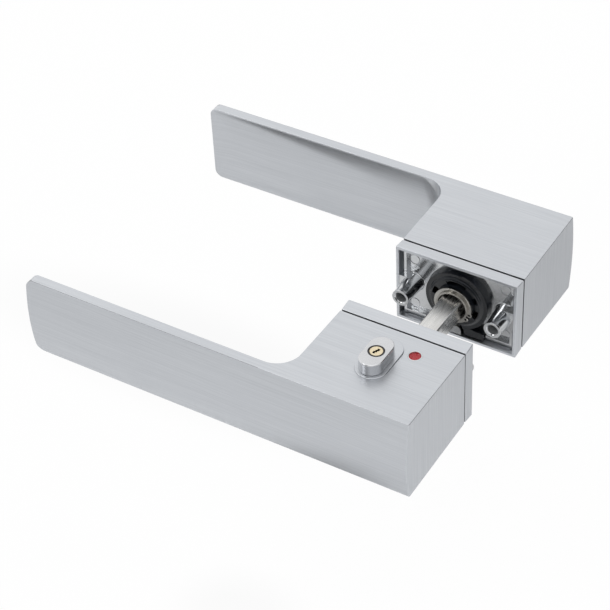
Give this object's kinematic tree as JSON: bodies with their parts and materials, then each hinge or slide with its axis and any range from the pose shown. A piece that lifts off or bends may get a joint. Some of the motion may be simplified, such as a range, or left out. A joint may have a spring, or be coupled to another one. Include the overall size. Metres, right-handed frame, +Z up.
{
  "type": "bathroom door handle set",
  "caption": "Pair of flat square-headed lever handles on slim oblong roses, joined by a square spindle, with a keyed privacy knob and a red and green indicator on top of the front head.",
  "frame": {"origin": "on the spindle axis, in the middle of the door thickness", "axes": "+X from the tips of the grips towards the heads, +Y along the spindle from the half with the privacy knob to the plain half, +Z up"},
  "size_m": [0.1598, 0.1304, 0.0391],
  "materials": {
    "lever_metal": "satin, brushed lengthways",
    "rose_metal": "satin, brushed",
    "casting": "bright plated die-casting",
    "cassette_plastic": "satin moulded",
    "spring_steel": "drawn wire",
    "steel": "zinc plated",
    "spindle_steel": "drawn bar, zinc plated",
    "knob_metal": "satin plated, polished side",
    "brass": "turned",
    "black_plastic": "smooth",
    "red_plastic": "smooth",
    "green_plastic": "smooth",
    "pale_plastic": "smooth",
    "clear_plastic": "clear",
    "white_plastic": "smooth, self-lubricating"
  },
  "bodies": {
    "roses": {"front_rose_cover": "rose_metal", "rear_rose_cover": "rose_metal", "front_rose_base": "casting", "rear_rose_base": "casting", "front_cassette": "cassette_plastic", "rear_cassette": "cassette_plastic", "front_return_spring": "spring_steel", "rear_return_spring": "spring_steel", "front_slide_washer": "white_plastic", "rear_slide_washer": "white_plastic"},
    "levers": {"front_lever": "lever_metal", "rear_lever": "lever_metal", "front_end_plate": "steel", "rear_end_plate": "steel", "front_neck": "steel", "rear_neck": "steel", "front_circlip": "spring_steel", "rear_circlip": "spring_steel", "spindle": "spindle_steel", "grub_screws": "spring_steel", "plate_screws": "steel", "knob_plate": "lever_metal", "indicator_bezel": "pale_plastic", "indicator_lens": "clear_plastic", "bolt_guide": "cassette_plastic"},
    "knob": {"privacy_knob": "knob_metal", "key_ring": "black_plastic", "indicator_arm": "steel", "red_pad": "red_plastic", "green_pad": "green_plastic", "cam_disc": "steel", "cam_screw": "steel"},
    "key_core": {"key_core": "brass"},
    "lock_bolt": {"lock_bolt": "steel"}
  },
  "joints": [
    {"name": "handles_down", "type": "hinge", "parent": "roses", "child": "levers", "pos_m": [0, 0, 0], "axis": [0, -1, 0], "range_deg": [0, 40], "stiffness_Nm_per_rad": 1.2, "springref_deg": -22.92},
    {"name": "knob_turn", "type": "hinge", "parent": "levers", "child": "knob", "pos_m": [0, -0.0411, 0], "axis": [0, 0, 1], "range_deg": [0, 90]},
    {"name": "key_turn", "type": "hinge", "parent": "knob", "child": "key_core", "pos_m": [0, -0.0411, 0], "axis": [0, 0, 1], "range_deg": [0, 90]},
    {"name": "bolt_slide", "type": "slide", "parent": "levers", "child": "lock_bolt", "axis": [0, -1, 0], "range_m": [0, 0.003]}
  ],
  "couplings": [
    {"joint": "bolt_slide", "follows": "knob_turn", "m_per_rad": 0.0019099}
  ]
}
